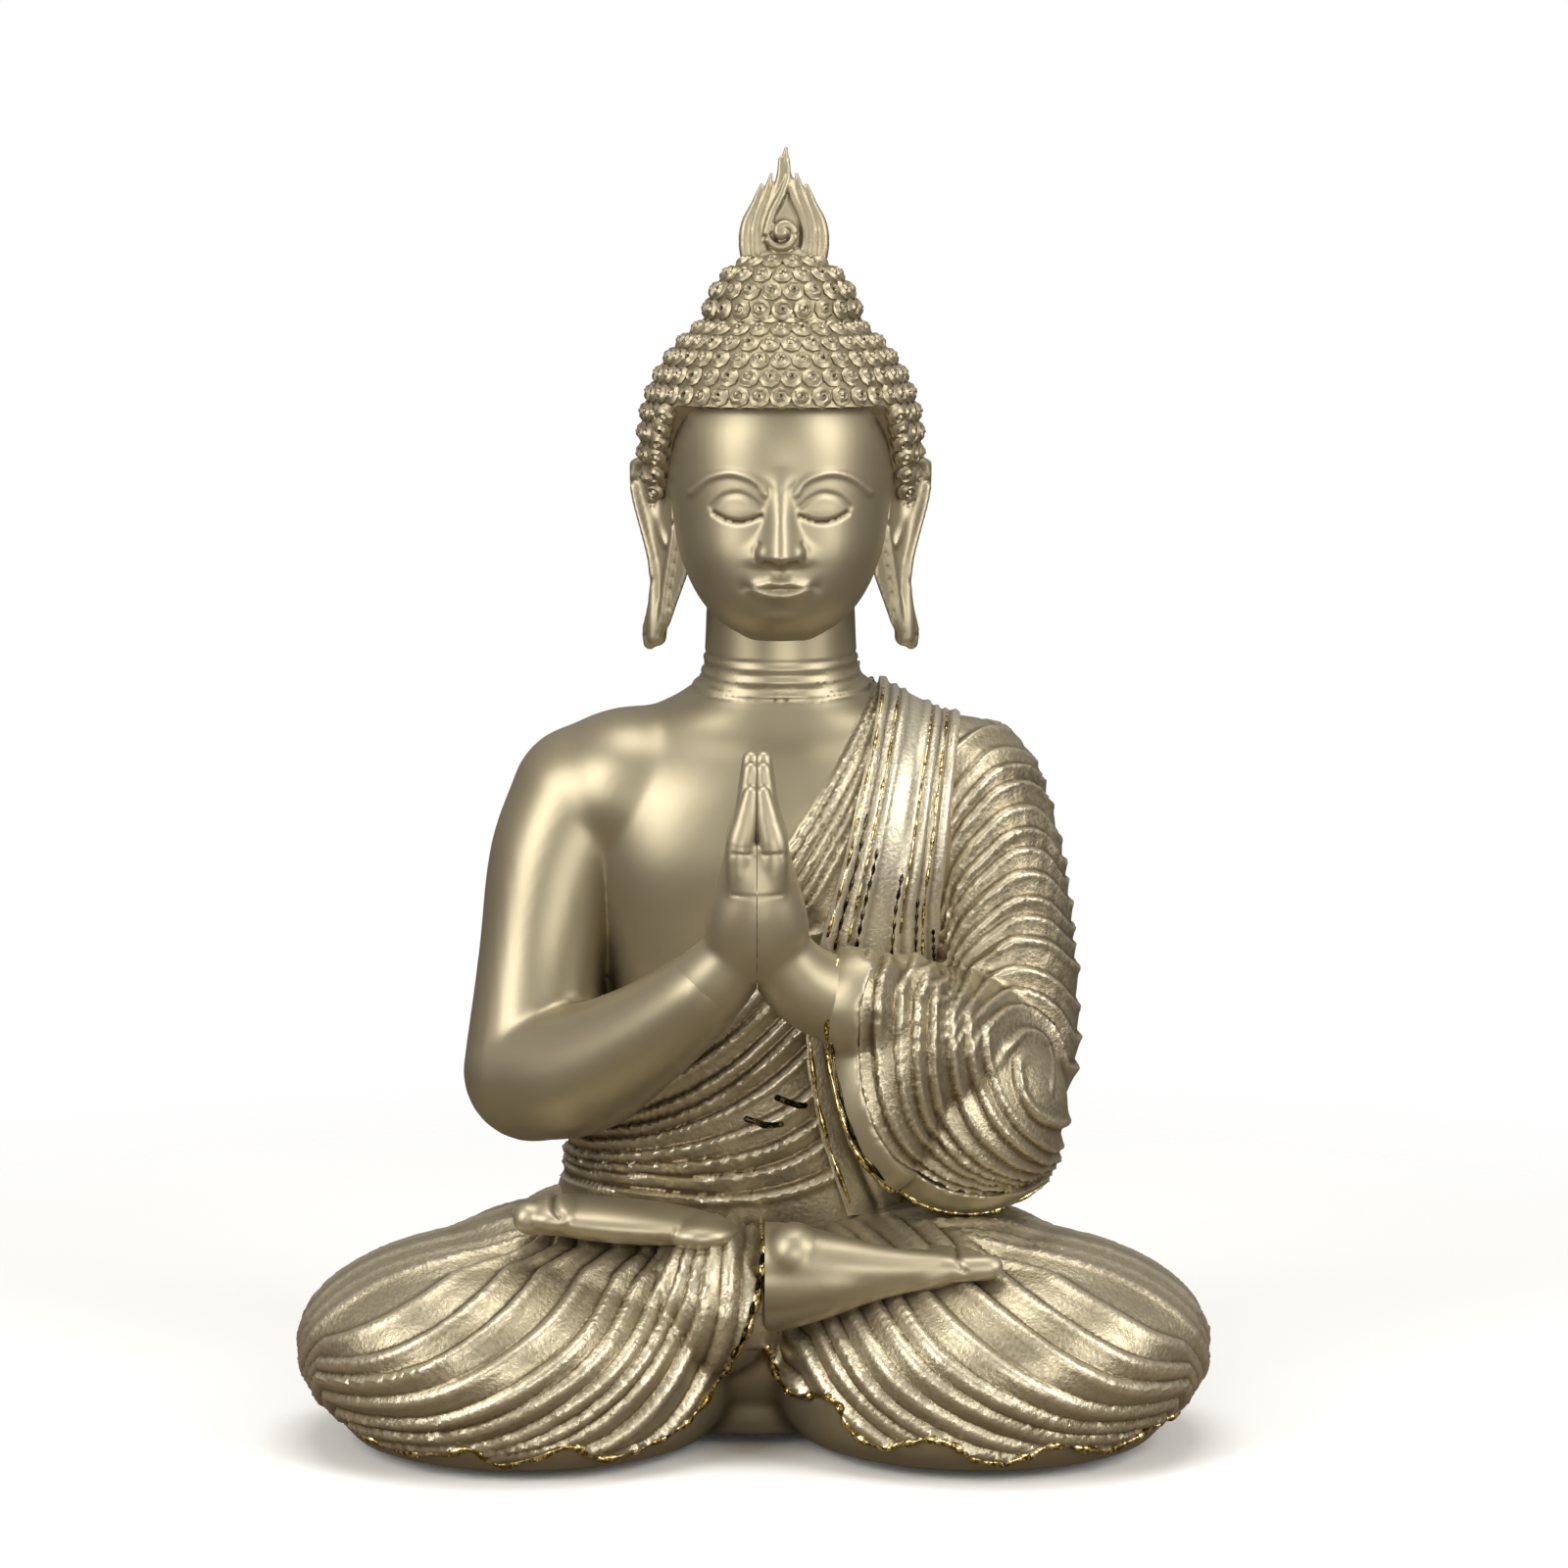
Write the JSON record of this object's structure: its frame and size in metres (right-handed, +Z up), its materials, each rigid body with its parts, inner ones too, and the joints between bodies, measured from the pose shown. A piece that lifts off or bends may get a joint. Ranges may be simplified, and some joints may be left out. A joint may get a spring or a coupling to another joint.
{
  "type": "seated figure statue",
  "caption": "Seated cross-legged figure with joined palms, robed over one shoulder, flame finial on a curled crown, on felt pads.",
  "frame": {"origin": "centre of the bounding box at its bottom, on the surface that the figure stands on", "axes": "+Z up, -Y the way the figure faces, +X to the figure's left"},
  "size_m": [0.2643, 0.1612, 0.381],
  "materials": {
    "satin_gold_paint": "satin champagne-gold paint on cast resin",
    "sandy_gold_paint": "the same paint over a fine sandy grain",
    "glitter_gold_paint": "brighter gold paint with glitter",
    "dowel_steel": "plain",
    "bare_resin": "unpainted cast resin",
    "black_felt": "pressed felt"
  },
  "bodies": {
    "root": {"head": "satin_gold_paint", "hair_cap": "satin_gold_paint", "ushnisha": "satin_gold_paint", "flame_finial": "satin_gold_paint", "right_ear": "satin_gold_paint", "left_ear": "satin_gold_paint", "torso": "sandy_gold_paint", "crossed_legs": "sandy_gold_paint", "right_arm": "satin_gold_paint", "left_sleeve": "sandy_gold_paint", "sleeve_cuff": "glitter_gold_paint", "shoulder_sash": "glitter_gold_paint", "robe_tail": "sandy_gold_paint", "right_hand": "satin_gold_paint", "left_hand": "satin_gold_paint", "right_foot": "satin_gold_paint", "left_foot": "satin_gold_paint", "neck_dowel": "dowel_steel", "finial_dowel": "dowel_steel", "pour_plug": "bare_resin", "felt_pad_1": "black_felt", "felt_pad_2": "black_felt", "felt_pad_3": "black_felt", "felt_pad_4": "black_felt"}
  },
  "joints": []
}
